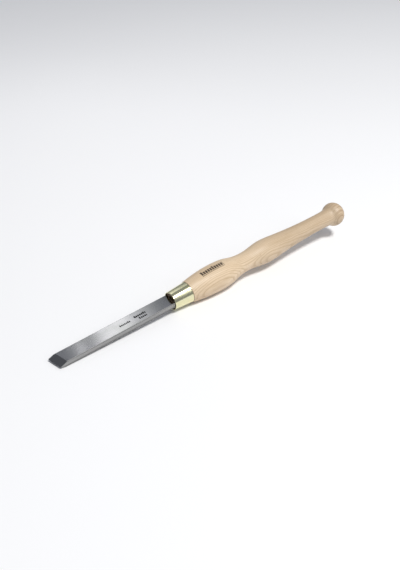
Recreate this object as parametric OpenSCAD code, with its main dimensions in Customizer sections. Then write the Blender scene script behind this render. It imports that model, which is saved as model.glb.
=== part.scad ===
// Skew chisel for wood turning: a flat high-speed-steel blade whose tang is bonded into a turned ash
// handle, with a tapered brass ferrule over the handle's spigot.
// The tool's axis lies on X, with the cutting edge at -X and the butt at +X. The blade's wide faces look
// up and down. The origin is on the axis, halfway along the tool.

/* [Blade] */
// Width of the blade across its rolled edges
blade_w = 20; // [14:0.5:26]
// Thickness of the blade
blade_t = 7; // [5:0.5:9]
// Length that shows, from the ferrule's mouth to the long point
blade_reach = 159; // [90:0.5:220]
// Radius of the four rolled long edges
edge_r = 1; // [0.4:0.1:2.4]
// Angle of the cutting edge off square
skew_angle = 13; // [0:1:35]
// Length of each ground bevel, along the blade
bevel_len = 9; // [6:0.5:16]

/* [Tang] */
// Width of the tang behind the shoulders
tang_w = 10; // [7:0.5:13]
// Depth of the shoulders on the blade's wide faces
face_shoulder = 0.5; // [0.2:0.1:1.2]
// Length of the tang behind the shoulders
tang_len = 66; // [40:1:90]
// Length of the tang's tapered point
tang_point_len = 16; // [6:1:30]
// Width of the tang at its end
tang_tip_w = 4; // [2:0.5:6]

/* [Ferrule] */
// Length of the ferrule
ferrule_len = 25.5; // [16:0.5:32]
// Wall thickness of the ferrule
ferrule_wall = 1; // [0.8:0.1:2]
// Half angle of the ferrule's cone
ferrule_taper = 4.2; // [2:0.1:7]
// Gap between the blade's corners and the ferrule's mouth
mouth_gap = 0.2; // [0.1:0.05:1]
// Depth of the wood's end below the ferrule's mouth
mouth_depth = 1.6; // [1:0.2:6]

/* [Handle] */
// Length of the handle behind the ferrule
grip_len = 275.5; // [240:0.5:330]
// Rise of the wood above the ferrule where they meet
shoulder_step = 0.35; // [0.1:0.05:1]
// Diameter of the front swell
swell_d = 36.1; // [34:0.1:46]
// Distance from the ferrule to the middle of the front swell
swell_at = 44.5; // [34:0.5:54]
// Diameter of the waist
waist_d = 24.9; // [20:0.1:30]
// Distance from the ferrule to the waist
waist_at = 92; // [80:0.5:105]
// Diameter of the palm swell
palm_d = 31.9; // [26:0.1:40]
// Distance from the ferrule to the middle of the palm swell
palm_at = 128; // [116:0.5:145]
// Diameter of the neck in front of the knob
neck_d = 22.3; // [19:0.1:26]
// Distance from the neck's thinnest point to the butt
neck_back = 49; // [42:0.5:60]
// Diameter of the knob
knob_d = 33.4; // [29:0.1:38]
// Length of the knob's ellipsoid
knob_len = 29.4; // [25:0.1:35]

/* [Bond] */
// Adhesive between the tang's corners and the bore
bond_gap = 0.15; // [0.05:0.05:0.5]
// Depth of the bore past the tang's end
bore_extra = 3; // [1:0.5:6]
// Depth of the adhesive below the bore's mouth
bond_drop = 1.5; // [0.5:0.5:4]
// Point angle of the drill that makes the bore
drill_point = 118; // [90:1:140]

/* [Hidden] */
$fn = 96;

function half_diagonal(w, t, r) = norm([w / 2 - r, t / 2 - r]) + r;

// Stations along the axis
total_len = blade_reach + ferrule_len + grip_len;
x_tip = -total_len / 2;
x_mouth = x_tip + blade_reach;
x_seat = x_mouth + mouth_depth;
x_tang_end = x_seat + tang_len;
x_shoulder = x_mouth + ferrule_len;
x_butt = total_len / 2;

// The ferrule's cone is set by the blade that passes through its mouth
mouth_r = half_diagonal(blade_w, blade_t, edge_r) + mouth_gap;
function cone_r(x) = mouth_r + (x - x_mouth) * tan(ferrule_taper);
wall_across = ferrule_wall / cos(ferrule_taper);
lip_r = ferrule_wall * 0.45;
rim_r = ferrule_wall * 0.3;

// The bore is set by the tang that goes into it
tang_t = blade_t - 2 * face_shoulder;
bore_r = half_diagonal(tang_w, tang_t, 0) + bond_gap;
bore_len = tang_len + bore_extra;
drill_len = bore_r / tan(drill_point / 2);

// The handle's outline
shoulder_r = cone_r(x_shoulder) + wall_across + shoulder_step;
shoulder_round = 0.5;
spigot_chamfer = 0.6;
swell = [x_shoulder + swell_at, swell_d / 2];
waist = [x_shoulder + waist_at, waist_d / 2];
palm = [x_shoulder + palm_at, palm_d / 2];
neck = [x_butt - neck_back, neck_d / 2];
knob = [x_butt - knob_len / 2, 0];
knob_meet = 125; // where the neck's curve runs into the knob, in degrees round the ellipse
curve_steps = 16;

far = 2 * total_len; // longer than anything that it cuts

// Points from one end of a cubic curve to the other; the first point is left out
function bezier(a, b, c, d, steps = curve_steps) = [
    for (i = [1 : steps])
        let (t = i / steps, s = 1 - t)
            s * s * s * a + 3 * s * s * t * b + 3 * s * t * t * c + t * t * t * d
];

// A curve between two stations where the outline runs level, with the reach of each end's pull
function level_span(a, b, pull_a = 0.38, pull_b = 0.38) =
    let (run = b[0] - a[0])
        bezier(a, a + [run * pull_a, 0], b - [run * pull_b, 0], b);

function arc(centre, r, from, to, steps) = [
    for (i = [0 : steps])
        let (a = from + (to - from) * i / steps)
            centre + r * [cos(a), sin(a)]
];

function knob_point(a) = knob + [knob_len / 2 * cos(a), knob_d / 2 * sin(a)];

// From the shoulder to the front swell: a single arc-like rise that levels at the swell
rise_start = [x_shoulder + shoulder_round, shoulder_r];
rise_control = [
    rise_start[0] + (swell[0] - rise_start[0]) / 2,
    swell[1]
];
rise = bezier(
    rise_start,
    rise_start + (rise_control - rise_start) * 2 / 3,
    swell + (rise_control - swell) * 2 / 3,
    swell
);

// From the neck to the knob: the corner where the level neck would meet the knob's own slope, rounded over
knob_start = knob_point(knob_meet);
knob_slope = knob_d * cos(knob_meet) / (-knob_len * sin(knob_meet));
neck_corner = [knob_start[0] - (knob_start[1] - neck[1]) / knob_slope, neck[1]];
neck_to_knob = bezier(
    neck,
    neck + (neck_corner - neck) * 0.76,
    knob_start + (neck_corner - knob_start) * 0.85,
    knob_start
);

outline = concat(
    [
        [x_seat, 0],
        [x_seat, cone_r(x_seat) - spigot_chamfer],
        [x_seat + spigot_chamfer, cone_r(x_seat + spigot_chamfer)],
        [x_shoulder, cone_r(x_shoulder)]
    ],
    arc([x_shoulder + shoulder_round, shoulder_r - shoulder_round], shoulder_round, 180, 90, 4),
    rise,
    level_span(swell, waist, 0.56, 0.48),
    level_span(waist, palm),
    level_span(palm, neck, 0.15, 0.56),
    neck_to_knob,
    [for (i = [1 : curve_steps]) knob_point(knob_meet * (1 - i / curve_steps))]
);

// Turns what is drawn as [along the axis, radius] about the X axis
module turned() {
    rotate([0, 90, 0])
        rotate_extrude()
            mirror([1, -1, 0])
                children();
}

module bar_section() {
    square([blade_w, blade_t - 2 * edge_r], center = true);
    square([blade_w - 2 * edge_r, blade_t], center = true);
    for (side = [-1, 1], face = [-1, 1])
        translate([side * (blade_w / 2 - edge_r), face * (blade_t / 2 - edge_r)])
            circle(edge_r);
}

// Everything above one bevel's plane, with the cutting edge on the local Y axis
module bevel_cut() {
    bevel_angle = atan2(blade_t / 2, bevel_len * cos(skew_angle));
    translate([x_tip, blade_w / 2, 0])
        rotate([0, 0, skew_angle])
            rotate([0, -bevel_angle, 0])
                translate([-far / 2, -far / 2, 0])
                    cube([far, far, far]);
}

module bar() {
    difference() {
        translate([x_tip, 0, 0])
            rotate([90, 0, 90])
                linear_extrude(x_seat - x_tip)
                    bar_section();
        bevel_cut();
        mirror([0, 0, 1]) bevel_cut();
    }
}

module tang() {
    taper_start = x_tang_end - tang_point_len;
    translate([0, 0, -tang_t / 2])
        linear_extrude(tang_t)
            polygon([
                [x_seat, -tang_w / 2],
                [taper_start, -tang_w / 2],
                [x_tang_end, -tang_tip_w / 2],
                [x_tang_end, tang_tip_w / 2],
                [taper_start, tang_w / 2],
                [x_seat, tang_w / 2]
            ]);
}

// The drilled hole that takes the tang, from a place below its mouth
module bore(drop = 0) {
    turned()
        polygon([
            [x_seat + drop, 0],
            [x_seat + drop, bore_r],
            [x_seat + bore_len, bore_r],
            [x_seat + bore_len + drill_len, 0]
        ]);
}

module blade() {
    color("silver") {
        bar();
        tang();
    }
}

module ferrule() {
    front_in = [x_mouth + rim_r, cone_r(x_mouth + rim_r) + rim_r / cos(ferrule_taper)];
    front_out = [
        x_mouth + lip_r,
        cone_r(x_mouth + lip_r) + wall_across - lip_r / cos(ferrule_taper)
    ];
    back_r = cone_r(x_shoulder);
    color("goldenrod")
        turned()
            polygon(concat(
                arc(front_in, rim_r, 270 + ferrule_taper, 180, 5),
                arc(front_out, lip_r, 180, 90 + ferrule_taper, 6),
                [[x_shoulder, back_r + wall_across], [x_shoulder, back_r]]
            ));
}

module handle() {
    color("burlywood")
        difference() {
            turned() polygon(outline);
            bore();
        }
}

module tang_adhesive() {
    color("wheat")
        difference() {
            bore(bond_drop);
            tang();
        }
}

blade();
ferrule();
handle();
tang_adhesive();
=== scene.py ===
"""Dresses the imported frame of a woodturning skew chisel: blade, ferrule, handle and studio."""

from __future__ import annotations

import logging
import math
from dataclasses import dataclass, field
from enum import Enum
from typing import Any, Mapping, Sequence, Union

import bmesh
import bpy
from mathutils import Matrix, Vector
from mathutils.bvhtree import BVHTree

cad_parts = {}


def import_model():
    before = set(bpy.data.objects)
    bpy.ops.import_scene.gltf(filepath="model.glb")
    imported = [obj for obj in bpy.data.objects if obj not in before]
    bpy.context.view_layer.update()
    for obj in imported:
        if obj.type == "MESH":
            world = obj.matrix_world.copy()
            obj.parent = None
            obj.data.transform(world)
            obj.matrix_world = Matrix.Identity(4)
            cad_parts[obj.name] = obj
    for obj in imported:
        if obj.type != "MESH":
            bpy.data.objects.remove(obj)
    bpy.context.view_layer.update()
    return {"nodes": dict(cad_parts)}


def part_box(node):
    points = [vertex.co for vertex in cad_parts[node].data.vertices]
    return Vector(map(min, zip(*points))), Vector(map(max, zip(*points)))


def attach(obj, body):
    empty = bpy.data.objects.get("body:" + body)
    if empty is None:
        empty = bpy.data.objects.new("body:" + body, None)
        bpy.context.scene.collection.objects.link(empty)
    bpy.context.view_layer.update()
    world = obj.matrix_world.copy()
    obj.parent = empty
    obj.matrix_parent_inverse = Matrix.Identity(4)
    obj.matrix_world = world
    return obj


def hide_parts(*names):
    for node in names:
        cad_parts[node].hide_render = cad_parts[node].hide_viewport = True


LOG = logging.getLogger("skew_chisel")
MM = 0.001
BODY = "root"

Colour = tuple[float, float, float]
Number = Union[float, "Signal"]


class Axis(Enum):
    """The axes that a pattern can follow, as the outputs of a Separate XYZ node."""

    ALONG = "X"
    ACROSS = "Y"
    UP = "Z"


def rgba(colour: Colour) -> tuple[float, float, float, float]:
    """Returns a colour with full alpha, as Blender's sockets take it."""
    return (*colour, 1.0)


# ---------------------------------------------------------------- shader expressions


class Signal:
    """A number that changes over a surface, so that shader maths reads as Python."""

    def __init__(self, graph: "Graph", socket: bpy.types.NodeSocket) -> None:
        """Wraps a socket.

        Args:
            graph: The node tree that the socket is in.
            socket: The output that holds the number.
        """
        self.graph = graph
        self.socket = socket

    def maths(self, operation: str, *others: Number, clamp: bool = False) -> "Signal":
        """Adds a Math node that starts with this number.

        Args:
            operation: The Math node's operation.
            others: The operands after this one.
            clamp: Whether the result is kept between 0 and 1.

        Returns:
            The Math node's result.
        """
        operands = dict(enumerate((self, *others)))
        node = self.graph.add(
            "ShaderNodeMath", {"operation": operation, "use_clamp": clamp}, operands
        )
        return Signal(self.graph, node.outputs[0])

    def __add__(self, other: Number) -> "Signal":
        """Returns this number plus another."""
        return self.maths("ADD", other)

    __radd__ = __add__

    def __mul__(self, other: Number) -> "Signal":
        """Returns this number times another."""
        return self.maths("MULTIPLY", other)

    __rmul__ = __mul__

    def __sub__(self, other: Number) -> "Signal":
        """Returns this number less another."""
        return self.maths("SUBTRACT", other)

    def __rsub__(self, other: float) -> "Signal":
        """Returns a plain number less this one."""
        return self.maths("MULTIPLY", -1.0).maths("ADD", other)

    def __truediv__(self, other: Number) -> "Signal":
        """Returns this number over another."""
        return self.maths("DIVIDE", other)

    def root(self) -> "Signal":
        """Returns the square root."""
        return self.maths("SQRT")

    def size(self) -> "Signal":
        """Returns the absolute value."""
        return self.maths("ABSOLUTE")

    def part(self) -> "Signal":
        """Returns what is left after the whole number."""
        return self.maths("FRACT")

    def held(self) -> "Signal":
        """Returns the number kept between 0 and 1."""
        return self.maths("ADD", 0.0, clamp=True)

    def step(self, start: float, end: float) -> "Signal":
        """Returns a smooth step.

        Args:
            start: Where the result is 0.
            end: Where the result is 1.

        Returns:
            A number from 0 to 1.
        """
        node = self.graph.add(
            "ShaderNodeMapRange",
            {"interpolation_type": "SMOOTHSTEP"},
            {"Value": self, "From Min": start, "From Max": end},
        )
        return Signal(self.graph, node.outputs["Result"])

    def band(self, start: float, end: float, soft: float) -> "Signal":
        """Returns a mask that is 1 between two values.

        Args:
            start: The lower side of the band.
            end: The upper side of the band.
            soft: How far each side fades.

        Returns:
            A number from 0 to 1.
        """
        return self.step(start - soft, start + soft) * (1 - self.step(end - soft, end + soft))


class Graph:
    """A material's node tree."""

    def __init__(self, name: str) -> None:
        """Makes an empty material that has only a Principled shader.

        Args:
            name: The material's name.
        """
        self.material = bpy.data.materials.new(name)
        self.material.use_nodes = True
        self.tree = self.material.node_tree
        self.shader = self.tree.nodes["Principled BSDF"]
        place = self.add("ShaderNodeTexCoord")
        self.place = place.outputs["Object"]

    def add(
        self,
        kind: str,
        settings: Mapping[str, Any] | None = None,
        inputs: Mapping[Any, Any] | None = None,
    ) -> bpy.types.Node:
        """Adds a node of any type.

        Args:
            kind: The node's type.
            settings: Attributes that are set first.
            inputs: Values or links for its sockets, by name or number.

        Returns:
            The new node.
        """
        node = self.tree.nodes.new(kind)
        for name, value in (settings or {}).items():
            setattr(node, name, value)
        for key, value in (inputs or {}).items():
            self.feed(node.inputs[key], value)
        return node

    def feed(self, socket: bpy.types.NodeSocket, value: Any) -> None:
        """Links or sets one socket.

        Args:
            socket: The input.
            value: A Signal, an output socket, or a plain value.
        """
        if isinstance(value, Signal):
            value = value.socket
        if isinstance(value, bpy.types.NodeSocket):
            self.tree.links.new(value, socket)
        else:
            socket.default_value = value

    def set(self, **values: Any) -> None:
        """Sets or links the Principled shader's sockets, named with underscores for spaces."""
        for name, value in values.items():
            self.feed(self.shader.inputs[name.replace("_", " ")], value)

    def axis(self, axis: Axis) -> Signal:
        """Returns one coordinate of the object's own place, in metres."""
        node = self.add("ShaderNodeSeparateXYZ", inputs={0: self.place})
        return Signal(self, node.outputs[axis.value])

    def stretched(self, scale: Sequence[float], shift: Sequence[float] = (0, 0, 0)) -> Any:
        """Returns the object's place, scaled and then moved.

        Args:
            scale: The factor on each axis.
            shift: What is added on each axis.

        Returns:
            An output socket.
        """
        node = self.add(
            "ShaderNodeVectorMath",
            {"operation": "MULTIPLY_ADD"},
            {0: self.place, 1: tuple(scale), 2: tuple(shift)},
        )
        return node.outputs[0]

    def noise(
        self,
        scale: Sequence[float],
        detail: float = 2.0,
        rough: float = 0.5,
        shift: Sequence[float] = (0, 0, 0),
    ) -> Signal:
        """Returns noise from about 0 to 1.

        Args:
            scale: Blotches in a metre, on each axis.
            detail: The noise's octaves.
            rough: How strong the finer octaves are.
            shift: Moves the pattern, so that two noises differ.

        Returns:
            The noise's value.
        """
        node = self.add(
            "ShaderNodeTexNoise",
            {"noise_dimensions": "3D"},
            {
                "Vector": self.stretched(scale, shift),
                "Scale": 1.0,
                "Detail": detail,
                "Roughness": rough,
            },
        )
        return Signal(self, node.outputs["Fac"])

    def mix(self, factor: Number, first: Any, second: Any) -> Any:
        """Mixes two colours.

        Args:
            factor: How much of the second is used.
            first: A colour or an output socket.
            second: A colour or an output socket.

        Returns:
            The colour's output socket.
        """
        node = self.add("ShaderNodeMix", {"data_type": "RGBA", "blend_type": "MIX"}, {0: factor})
        for index, value in ((6, first), (7, second)):
            self.feed(node.inputs[index], rgba(value) if isinstance(value, tuple) else value)
        return node.outputs[2]

    def bump(self, height: Signal, depth: float) -> Any:
        """Returns the normal of a surface with small relief.

        Args:
            height: The relief, from 0 to 1.
            depth: The height in metres of a full step.

        Returns:
            The normal's output socket.
        """
        inputs = {"Height": height, "Distance": depth, "Strength": 1.0}
        node = self.add("ShaderNodeBump", inputs=inputs)
        return node.outputs["Normal"]


# ---------------------------------------------------------------- finishes


@dataclass(frozen=True)
class Ticks:
    """A plain row of upright strokes, like the edge of a rule, in place of any print.

    One stroke in a few is full height, and the others stop at a share of it.
    """

    start: float
    end: float
    low: float
    high: float
    pitch: float
    width: float
    long_every: int = 5
    short: float = 0.6

    @classmethod
    def after(
        cls,
        origin: float,
        along: tuple[float, float],
        across: tuple[float, float],
        pitch: float,
        width: float,
        **pattern: Any,
    ) -> "Ticks":
        """Lays out a row in millimetres.

        Args:
            origin: The place along the tool, in metres, that the row is measured from.
            along: The row's start and end, past the origin.
            across: The strokes' feet and tops, off the tool's axis.
            pitch: The distance from one stroke to the next.
            width: The strokes' width.
            pattern: The fields that set how the strokes' lengths change.

        Returns:
            The row.
        """
        start, end = (origin + x * MM for x in along)
        low, high = (y * MM for y in across)
        return cls(start, end, low, high, pitch * MM, width * MM, **pattern)

    def mask(self, along: Signal, across: Signal) -> Signal:
        """Draws the row.

        Args:
            along: The coordinate that runs along the row.
            across: The coordinate that runs up the strokes.

        Returns:
            A mask that is 1 on the ink.
        """
        soft = 0.05 * MM
        steps = (along - self.start) / self.pitch
        stroke = 1 - ((steps.part() - 0.5).size() * self.pitch).step(
            self.width / 2, self.width / 2 + soft
        )
        is_long = 1 - ((steps / self.long_every).part() * self.long_every).step(0.98, 1.02)
        top = self.low + (self.high - self.low) * (self.short + (1 - self.short) * is_long)
        inside = (across - self.low).step(-soft, soft) * (top - across).step(-soft, soft)
        return stroke * inside * along.band(self.start, self.end, soft)


def printed(rows: Sequence[Ticks], along: Signal, across: Signal, on_top: Signal) -> Number:
    """Draws rows on the tool's upper side.

    Args:
        rows: The rows.
        along: The coordinate that runs along the rows.
        across: The coordinate that runs up the strokes.
        on_top: A mask of the upper side.

    Returns:
        A mask that is 1 on the ink, or 0 if there are no rows.
    """
    ink: Number = 0.0
    for row in rows:
        ink = row.mask(along, across) * on_top + ink
    return ink


@dataclass(frozen=True)
class GroundSteel:
    """High-speed steel: faces ground across, bevels fresh off the wheel, sides drawn lengthwise."""

    tip: float
    mouth: float
    half_width: float
    half_thickness: float
    edge_radius: float
    skew: float
    bevel_length: float
    colour: Colour = (0.56, 0.555, 0.56)
    dull: Colour = (0.47, 0.475, 0.46)
    bevel_colour: Colour = (0.25, 0.25, 0.25)
    side_colour: Colour = (0.37, 0.37, 0.365)
    edge_colour: Colour = (0.2, 0.2, 0.2)
    etch_colour: Colour = (0.03, 0.03, 0.03)
    # Darkens the grinding lines, and also paints shade on the lower half of each narrow side.
    groove_and_shade_colour: Colour = (0.12, 0.12, 0.12)
    # Painted shade colour for the steel beside the ferrule.
    mouth_shade_colour: Colour = (0.16, 0.155, 0.14)
    marks: Sequence[Ticks] = ()

    def build(self) -> bpy.types.Material:
        """Returns the finished material."""
        g = Graph("ground_steel")
        x, y, z = (g.axis(axis) for axis in Axis)
        bevel, side, roll = self._bevel(x, y), self._side(y), self._roll(y, z)
        across = g.noise((5200, 70, 70), detail=3, rough=0.6)
        coarse = g.noise((900, 45, 45), detail=2, shift=(3, 1, 7))
        cloud = g.noise((38, 60, 60), detail=3, shift=(9, 2, 4))
        lengthwise = g.noise((60, 4200, 4200), detail=3, shift=(5, 8, 2))
        lines = across * (1 - side) * (1 - bevel) + lengthwise * (side + bevel).held()
        colour = g.mix((cloud.step(0.35, 0.75) * 0.8 + coarse * 0.3).held(), self.colour, self.dull)
        colour = g.mix(side, colour, self.side_colour)
        # Painted shade: the lower half of each narrow side is darkened toward the groove and shade
        # colour.
        colour = g.mix(side * (0 - z).step(0, 2 * MM) * 0.6, colour, self.groove_and_shade_colour)
        colour = g.mix(roll, colour, self.edge_colour)
        colour = g.mix(bevel, colour, self.bevel_colour)
        # Painted shade: the steel darkens toward the ferrule's mouth over its last 9 mm.
        mouth_shade = x.step(self.mouth - 9 * MM, self.mouth + 1 * MM)
        colour = g.mix(mouth_shade * 0.55, colour, self.mouth_shade_colour)
        colour = g.mix((lines - 0.5) * 0.35 + 0.1, colour, self.groove_and_shade_colour)
        ink = printed(self.marks, x, y, z.step(0, 0.5 * MM))
        colour = g.mix(ink, colour, self.etch_colour)
        rough = 0.11 + (lines - 0.5) * 0.06 + cloud * 0.04 + bevel * 0.1
        rough = rough + side * 0.14 + roll * 0.36 + ink * 0.3
        g.set(
            Base_Color=colour,
            Metallic=1.0,
            Roughness=rough,
            Normal=g.bump(lines * 0.7 + coarse * 0.3, 2.5e-6),
        )
        return g.material

    def _bevel(self, x: Signal, y: Signal) -> Signal:
        """Returns the mask of the two ground bevels, short of the sides."""
        heel = self.tip + self.bevel_length + (self.half_width - y) * math.tan(self.skew)
        inner = self.half_width - 0.4 * self.edge_radius
        return (heel - x).step(-0.05 * MM, 0.05 * MM) * (1 - y.size().step(inner, inner + 0.1 * MM))

    def _side(self, y: Signal) -> Signal:
        """Returns the mask of the bar's two narrow sides."""
        start = self.half_width - 0.6 * self.edge_radius
        return y.size().step(start, self.half_width - 0.1 * self.edge_radius)

    def _roll(self, y: Signal, z: Signal) -> Signal:
        """Returns the mask of the four rolled edges."""
        out = y.size() - (self.half_width - self.edge_radius)
        up = z.size() - (self.half_thickness - self.edge_radius)
        near, full = 0.15 * self.edge_radius, 0.35 * self.edge_radius
        return out.step(near, full) * up.step(near, full)


@dataclass(frozen=True)
class PolishedBrass:
    """Pale polished brass with fine marks from turning and a dull inside."""

    mouth: float
    mouth_radius: float
    slope: float
    wall: float
    colour: Colour = (0.81, 0.785, 0.525)
    warm: Colour = (0.75, 0.705, 0.40)
    inside: Colour = (0.30, 0.25, 0.14)

    def build(self) -> bpy.types.Material:
        """Returns the finished material."""
        g = Graph("polished_brass")
        x, y, z = (g.axis(axis) for axis in Axis)
        radius = (y * y + z * z).root()
        middle = self.mouth_radius - self.wall * 0.6 + (x - self.mouth) * self.slope
        bore = 1 - (radius - middle).step(-0.1 * MM, 0.1 * MM)
        rings = g.noise((6500, 25, 25), detail=3, rough=0.6)
        cloud = g.noise((160, 160, 160), detail=3, shift=(4, 4, 1))
        colour = g.mix(cloud.step(0.4, 0.8) * 0.6 + rings * 0.1, self.colour, self.warm)
        colour = g.mix(bore, colour, self.inside)
        g.set(
            Base_Color=colour,
            Metallic=1.0,
            Roughness=0.13 + cloud * 0.08 + (rings - 0.5) * 0.06 + bore * 0.3,
            Normal=g.bump(rings * 0.6 + cloud * 0.4, 3e-6),
        )
        return g.material


@dataclass(frozen=True)
class TurnedAsh:
    """Pale ash, sanded and lacquered, with its growth rings as a solid pattern.

    The pith is the tree's middle, off the handle's axis. Painted shade darkens the wood over the rear
    span, which is measured back from the shoulder, and the streaks grow stronger there. Its end grain
    shows over a span that is measured from the butt.
    """

    shoulder: float
    butt: float
    pith: tuple[float, float] = (78 * MM, 8 * MM)
    ring: float = 1.6 * MM
    light: Colour = (0.77, 0.615, 0.44)
    late: Colour = (0.53, 0.385, 0.23)
    warm: Colour = (0.71, 0.545, 0.37)
    pore: Colour = (0.40, 0.26, 0.15)
    # Painted shade colour for the rear of the handle.
    shade: Colour = (0.2, 0.15, 0.11)
    # Painted shade colour for the seam behind the ferrule.
    joint_gap_shade: Colour = (0.12, 0.07, 0.035)
    burn: Colour = (0.035, 0.02, 0.012)
    rear: tuple[float, float] = (55 * MM, 190 * MM)
    end_grain: tuple[float, float] = (30 * MM, 12 * MM)
    marks: Sequence[Ticks] = ()

    def build(self) -> bpy.types.Material:
        """Returns the finished material."""
        g = Graph("turned_ash")
        x, y, z = (g.axis(axis) for axis in Axis)
        sway = g.noise((9, 22, 22), detail=2, shift=(1, 5, 2)) - 0.5
        ripple = g.noise((30, 130, 130), detail=3, shift=(6, 1, 3)) - 0.5
        out_y = y - self.pith[0] + x * 0.012 + sway * 7 * MM
        out_z = z - self.pith[1] + sway * 2 * MM
        depth = (out_y * out_y + out_z * out_z).root() / self.ring + ripple * 0.9
        phase = depth.part()
        late = phase.step(0.4, 0.88) * (1 - phase.step(0.9, 1.0))
        width = g.noise((2, 420, 420), detail=1, shift=(8, 8, 8))
        streak = g.noise((7, 300, 300), detail=3, rough=0.6, shift=(2, 7, 5))
        fibre = g.noise((120, 2600, 2600), detail=2, rough=0.6, shift=(3, 3, 9))
        dash = g.noise((330, 3600, 3600), detail=1, shift=(1, 9, 6))
        pores = dash.step(0.66, 0.74) * (0.35 + 0.65 * (1 - late))
        cloud = g.noise((14, 40, 40), detail=2, shift=(5, 2, 8))
        rear_grain_and_shade = x.step(*(self.shoulder + reach for reach in self.rear))
        butt = x.step(*(self.butt - reach for reach in self.end_grain))
        colour = g.mix(cloud.step(0.35, 0.7), self.light, self.warm)
        colour = g.mix(late * (0.5 + 0.5 * width), colour, self.late)
        colour = g.mix((streak - 0.4).held() * (1.3 + 0.7 * rear_grain_and_shade), colour, self.late)
        colour = g.mix((fibre - 0.4).held() * (0.6 + 0.9 * rear_grain_and_shade), colour, self.late)
        colour = g.mix(pores * 0.5, colour, self.pore)
        colour = g.mix(self._flecks(g) * 0.7, colour, self.pore)
        colour = g.mix(butt * (depth / 2.6).part().step(0.45, 0.9) * 0.6, colour, self.pore)
        # Painted shade: the wood darkens toward the butt over the rear span.
        colour = g.mix(rear_grain_and_shade * 0.22, colour, self.shade)
        # Painted shade: a dark band on the wood just behind the shoulder, in the seam at the ferrule.
        joint_gap_shade = 1 - x.step(self.shoulder + 0.25 * MM, self.shoulder + 0.9 * MM)
        ink = (printed(self.marks, x, y, z.step(0, 1 * MM)) * (0.75 + 0.4 * fibre)).held()
        colour = g.mix(joint_gap_shade * 0.8, colour, self.joint_gap_shade)
        colour = g.mix(ink, colour, self.burn)
        g.set(
            Base_Color=colour,
            Roughness=0.40 + fibre * 0.12 + pores * 0.1 + ink * 0.2,
            Normal=g.bump(fibre * 0.5 + (1 - pores) * 0.5 - ink, 1.2e-5),
        )
        return g.material

    @staticmethod
    def _flecks(g: Graph) -> Signal:
        """Returns a few tiny dark specks, as small knots and rays leave."""
        node = g.add(
            "ShaderNodeTexVoronoi",
            {"feature": "F1", "distance": "EUCLIDEAN"},
            {"Vector": g.stretched((70, 110, 110), (3, 2, 1)), "Scale": 1.0},
        )
        return 1 - Signal(g, node.outputs["Distance"]).step(0.03, 0.06)


@dataclass(frozen=True)
class CuredAdhesive:
    """Amber epoxy, clouded by small bubbles."""

    clear: Colour = (0.45, 0.30, 0.12)
    cloudy: Colour = (0.72, 0.58, 0.32)

    def build(self) -> bpy.types.Material:
        """Returns the finished material."""
        g = Graph("cured_adhesive")
        cloud = g.noise((900, 900, 900), detail=3)
        bubbles = g.noise((4000, 4000, 4000), detail=1, shift=(2, 2, 2))
        g.set(
            Base_Color=g.mix(cloud, self.clear, self.cloudy),
            Roughness=0.25 + 0.2 * cloud,
            Normal=g.bump(bubbles, 2e-5),
        )
        return g.material


@dataclass(frozen=True)
class FloorPaper:
    """Matt pale paper."""

    colour: Colour = (0.93, 0.93, 0.935)
    shade: Colour = (0.915, 0.915, 0.92)

    def build(self) -> bpy.types.Material:
        """Returns the finished material."""
        g = Graph("floor_paper")
        cloud = g.noise((3, 3, 3), detail=2)
        g.set(Base_Color=g.mix(cloud, self.colour, self.shade), Roughness=0.9)
        return g.material


# ---------------------------------------------------------------- mesh helpers


def add_piece(name: str, mesh: bpy.types.Mesh, material: bpy.types.Material) -> bpy.types.Object:
    """Makes an object of a mesh.

    Args:
        name: The piece's name.
        mesh: Its mesh, in the frame's own place.
        material: Its finish.

    Returns:
        The new object.
    """
    piece = bpy.data.objects.new(name, mesh)
    bpy.context.scene.collection.objects.link(piece)
    mesh.materials.clear()
    mesh.materials.append(material)
    return piece


def dress(node: bpy.types.Object, material: bpy.types.Material) -> None:
    """Gives a node of the frame a new finish in every material slot."""
    for slot in node.material_slots:
        slot.material = material


# ---------------------------------------------------------------- sub-assemblies


@dataclass
class Blade:
    """The flat bar with its bevels, edges and tang."""

    node: bpy.types.Object
    mouth: float
    skew: float = math.radians(13)
    bevel_length: float = 9.0 * MM
    edge_radius: float = 1.0 * MM

    def build(self) -> bpy.types.Object:
        """Dresses the blade and returns it."""
        low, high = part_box("blade")
        finish = GroundSteel(
            tip=low.x,
            mouth=self.mouth,
            half_width=high.y,
            half_thickness=high.z,
            edge_radius=self.edge_radius,
            skew=self.skew,
            bevel_length=self.bevel_length,
            marks=self._etched_rows(low.x),
        )
        dress(self.node, finish.build())
        return self.node

    @staticmethod
    def _etched_rows(tip: float) -> tuple[Ticks, ...]:
        """Returns the small etched rows on the upper face, clear of the grind by the tip."""
        return (
            Ticks.after(tip, (86, 101), (-2.3, 0.7), pitch=2.1, width=1.5, short=0.8),
            Ticks.after(tip, (107, 123), (-0.6, 3.2), pitch=2.4, width=1.8, short=0.8),
            Ticks.after(tip, (111, 122), (-5.3, -2.0), pitch=2.4, width=1.8, short=0.8),
        )


@dataclass
class Ferrule:
    """The tapered brass ring on the handle's spigot."""

    node: bpy.types.Object
    half_angle: float = math.radians(4.2)
    wall: float = 1.0 * MM

    def build(self) -> bpy.types.Object:
        """Dresses the ferrule and returns it."""
        low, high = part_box("ferrule")
        slope = math.tan(self.half_angle)
        finish = PolishedBrass(
            mouth=low.x,
            mouth_radius=high.y - (high.x - low.x) * slope,
            slope=slope,
            wall=self.wall,
        )
        dress(self.node, finish.build())
        return self.node


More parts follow.
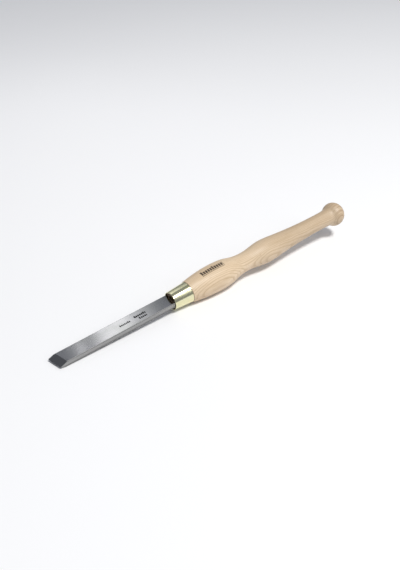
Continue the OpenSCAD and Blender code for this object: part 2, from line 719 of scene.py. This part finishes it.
@dataclass
class Handle:
    """The turned handle, made again as one smooth skin on the frame's own outline."""

    node: bpy.types.Object
    shoulder: float
    segments: int = 160
    bore_limit: float = 8 * MM
    bore_end: float = 50 * MM
    sharp_angle: float = math.radians(35)
    outline: list[tuple[float, float]] = field(default_factory=list)

    def trace(self) -> None:
        """Reads the turned outline from the frame's handle: down the bore, then out to the butt."""
        rings: dict[float, set[float]] = {}
        for vertex in self.node.data.vertices:
            x, y, z = vertex.co
            rings.setdefault(round(x, 6), set()).add(round(math.hypot(y, z), 5))
        start = min(rings)
        bore = {(x, r) for x, radii in rings.items() for r in radii if self._in_bore(x, r)}
        skin = {(x, max(radii)) for x, radii in rings.items() if not self._in_bore(x, max(radii))}
        front = max(r for x, r in skin if x == start)
        self.outline = sorted(bore, key=lambda p: (-p[0], p[1]))
        self.outline += [(start, front)] + sorted(p for p in skin if p[0] > start)

    def _in_bore(self, x: float, radius: float) -> bool:
        """Returns whether a ring is on the bore, which is thin and ends before the waist."""
        return radius < self.bore_limit and x < self.bore_end

    def build(self) -> bpy.types.Object:
        """Turns the outline about the axis and returns the handle."""
        self.trace()
        bm = bmesh.new()
        previous: list[bmesh.types.BMVert] = []
        for x, radius in self.outline:
            count = 1 if radius < 1e-6 else self.segments
            ring = [
                bm.verts.new((x, radius * math.cos(a), radius * math.sin(a)))
                for a in (2 * math.pi * i / count for i in range(count))
            ]
            if previous:
                self._join(bm, previous, ring)
            previous = ring
        bmesh.ops.recalc_face_normals(bm, faces=bm.faces)
        mesh = bpy.data.meshes.new("handle_turned")
        bm.to_mesh(mesh)
        bm.free()
        for face in mesh.polygons:
            face.use_smooth = True
        mesh.set_sharp_from_angle(angle=self.sharp_angle)
        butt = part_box("handle")[1].x
        finish = TurnedAsh(self.shoulder, butt, marks=self._burnt_row(self.shoulder))
        piece = add_piece("handle_turned", mesh, finish.build())
        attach(piece, BODY)
        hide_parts("handle")
        return piece

    @staticmethod
    def _burnt_row(shoulder: float) -> tuple[Ticks, ...]:
        """Returns the row of strokes burnt on top of the front swell, over a thin line."""
        along = (21, 56)
        return (
            Ticks.after(shoulder, along, (-3.8, 2.4), pitch=3.4, width=2.6, short=0.8),
            Ticks.after(shoulder, along, (-5.4, -4.6), pitch=1.5, width=1.1, long_every=1),
        )

    @staticmethod
    def _join(bm: bmesh.types.BMesh, a: list, b: list) -> None:
        """Fills between two rings, either of which may be a single point."""
        count = max(len(a), len(b))
        for i in range(count):
            j = (i + 1) % count
            corners = [a[i % len(a)], a[j % len(a)], b[j % len(b)], b[i % len(b)]]
            bm.faces.new(list(dict.fromkeys(corners)))


@dataclass
class Adhesive:
    """The cured adhesive round the tang."""

    node: bpy.types.Object

    def build(self) -> bpy.types.Object:
        """Dresses the adhesive and returns it."""
        dress(self.node, CuredAdhesive().build())
        return self.node


# ---------------------------------------------------------------- studio


@dataclass(frozen=True)
class Ground:
    """The plane that the tool lies on, with its own axes along and across the tool."""

    origin: Vector
    along: Vector
    across: Vector
    up: Vector

    @classmethod
    def under(cls, nodes: Sequence[bpy.types.Object], balance: Vector, tip: Vector) -> "Ground":
        """Finds how the tool comes to rest on a flat floor.

        Args:
            nodes: The frame's nodes that can touch the floor.
            balance: A point above the part of the floor between the places that touch.
            tip: The point of the tool's axis that the origin is put under.

        Returns:
            The face of the tool's convex hull that lies below the balance point.
        """
        hull = bmesh.new()
        for node in nodes:
            for vertex in node.data.vertices:
                if vertex.co.z < 0:
                    hull.verts.new(vertex.co)
        bmesh.ops.convex_hull(hull, input=hull.verts)
        below = Vector((balance.x, balance.y, -1.0))
        point, normal, _, _ = BVHTree.FromBMesh(hull).ray_cast(below, Vector((0, 0, 1)))
        hull.free()
        up = normal if normal.z > 0 else -normal
        along = (Vector((1, 0, 0)) - up * up.x).normalized()
        return cls(tip - up * (tip - point).dot(up), along, up.cross(along), up)

    def place(self, x: float, y: float, z: float) -> Vector:
        """Returns the frame's point for millimetres along, across and above the ground."""
        return self.origin + (self.along * x + self.across * y + self.up * z) * MM


@dataclass(frozen=True)
class Panel:
    """A soft light: a rectangle that shines at a point."""

    name: str
    place: tuple[float, float, float]
    aim: tuple[float, float, float]
    width: float
    height: float
    watts: float
    colour: Colour = (1.0, 1.0, 1.0)


def blade_panel(name: str, along: float, width: float, watts: float) -> Panel:
    """Hangs a tall narrow panel on the far side, to be reflected by the blade's upper face.

    Args:
        name: The panel's name.
        along: Its place along the tool, in the ground's millimetres.
        width: Its width in metres.
        watts: Its power.

    Returns:
        The panel, which shines straight across the tool.
    """
    return Panel(name, (along, 676, 691), (along, 0, 9), width, 0.7, watts)


@dataclass
class Studio:
    """The floor, the lights and the camera."""

    ground: Ground
    eye: tuple[float, float, float] = (-182.9, -480.7, 465.0)
    target: tuple[float, float, float] = (218.9, 18.8, 0.0)
    lens: float = 39.02
    roll: float = math.radians(0.4)
    floor_size: float = 6.0
    sky: Colour = (0.262, 0.275, 0.31)
    panels: Sequence[Panel] = (
        Panel("key_panel", (770, -1570, 3640), (230, 0, 0), 0.8, 0.8, 128.0, (1.0, 0.99, 0.965)),
        Panel("top_panel", (690, -745, 635), (170, 0, 14), 0.42, 0.55, 1.05),
        blade_panel("band_panel", 248, width=0.018, watts=0.052),
        blade_panel("lead_panel", 302, width=0.024, watts=0.042),
        blade_panel("strip_panel", 360, width=0.094, watts=0.28),
        blade_panel("veil_panel", 436, width=0.058, watts=0.07),
        blade_panel("fade_panel", 478, width=0.026, watts=0.017),
    )

    def build(self) -> None:
        """Sets up the whole studio."""
        self._lay_floor()
        self._light()
        self._aim_camera()
        bpy.context.scene.view_settings.view_transform = "Standard"

    def _lay_floor(self) -> None:
        """Lays a plain pale floor under the tool."""
        half = self.floor_size / 2 / MM
        corners = [(-half, -half), (half, -half), (half, half), (-half, half)]
        mesh = bpy.data.meshes.new("floor")
        mesh.from_pydata([self.ground.place(x, y, 0) for x, y in corners], [], [(0, 1, 2, 3)])
        floor = add_piece("floor", mesh, FloorPaper().build())

    def _light(self) -> None:
        """Sets the sky's grey and hangs the panels."""
        world = bpy.data.worlds.new("studio_sky")
        bpy.context.scene.world = world
        world.use_nodes = True
        world.node_tree.nodes["Background"].inputs["Color"].default_value = rgba(self.sky)
        for panel in self.panels:
            data = bpy.data.lights.new(panel.name, "AREA")
            data.shape = "RECTANGLE"
            data.size = panel.width
            data.size_y = panel.height
            data.energy = panel.watts
            data.color = panel.colour
            lamp = bpy.data.objects.new(panel.name, data)
            bpy.context.scene.collection.objects.link(lamp)
            lamp.matrix_world = self._facing(panel.place, panel.aim)

    def _facing(self, place: Sequence[float], aim: Sequence[float]) -> Matrix:
        """Returns the pose of a lamp or camera.

        Args:
            place: Where it is, in the ground's millimetres.
            aim: What it looks at, in the ground's millimetres.

        Returns:
            A matrix whose -Z points at the aim, and whose Y points up.
        """
        where = self.ground.place(*place)
        back = (where - self.ground.place(*aim)).normalized()
        side = self.ground.up.cross(back).normalized()
        turn = Matrix((side, back.cross(side), back)).transposed().to_4x4()
        return Matrix.Translation(where) @ turn

    def _aim_camera(self) -> None:
        """Makes the camera and sets it as the scene's own."""
        data = bpy.data.cameras.new("camera")
        data.lens = self.lens
        data.clip_start = 0.01
        camera = bpy.data.objects.new("camera", data)
        bpy.context.scene.collection.objects.link(camera)
        tilt = Matrix.Rotation(self.roll, 4, "Z")
        camera.matrix_world = self._facing(self.eye, self.target) @ tilt
        bpy.context.scene.camera = camera


def main() -> None:
    """Builds every piece and the studio."""
    logging.basicConfig(level=logging.INFO, format="%(name)s: %(message)s")
    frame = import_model()
    nodes = frame["nodes"]
    mouth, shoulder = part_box("ferrule")
    parts = (
        Blade(nodes["blade"], mouth.x),
        Ferrule(nodes["ferrule"]),
        Handle(nodes["handle"], shoulder.x),
        Adhesive(nodes["tang_adhesive"]),
    )
    for part in parts:
        piece = part.build()
        LOG.info("%s: %d vertices", piece.name, len(piece.data.vertices))
    tip = Vector((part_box("blade")[0].x, 0, 0))
    ground = Ground.under([nodes["blade"], nodes["handle"]], (mouth + shoulder) / 2, tip)
    LOG.info("pitch %.2f, lean %.2f degrees", *(math.degrees(a) for a in (ground.up.x, ground.up.y)))
    Studio(ground).build()


if __name__ == "__main__":
    main()
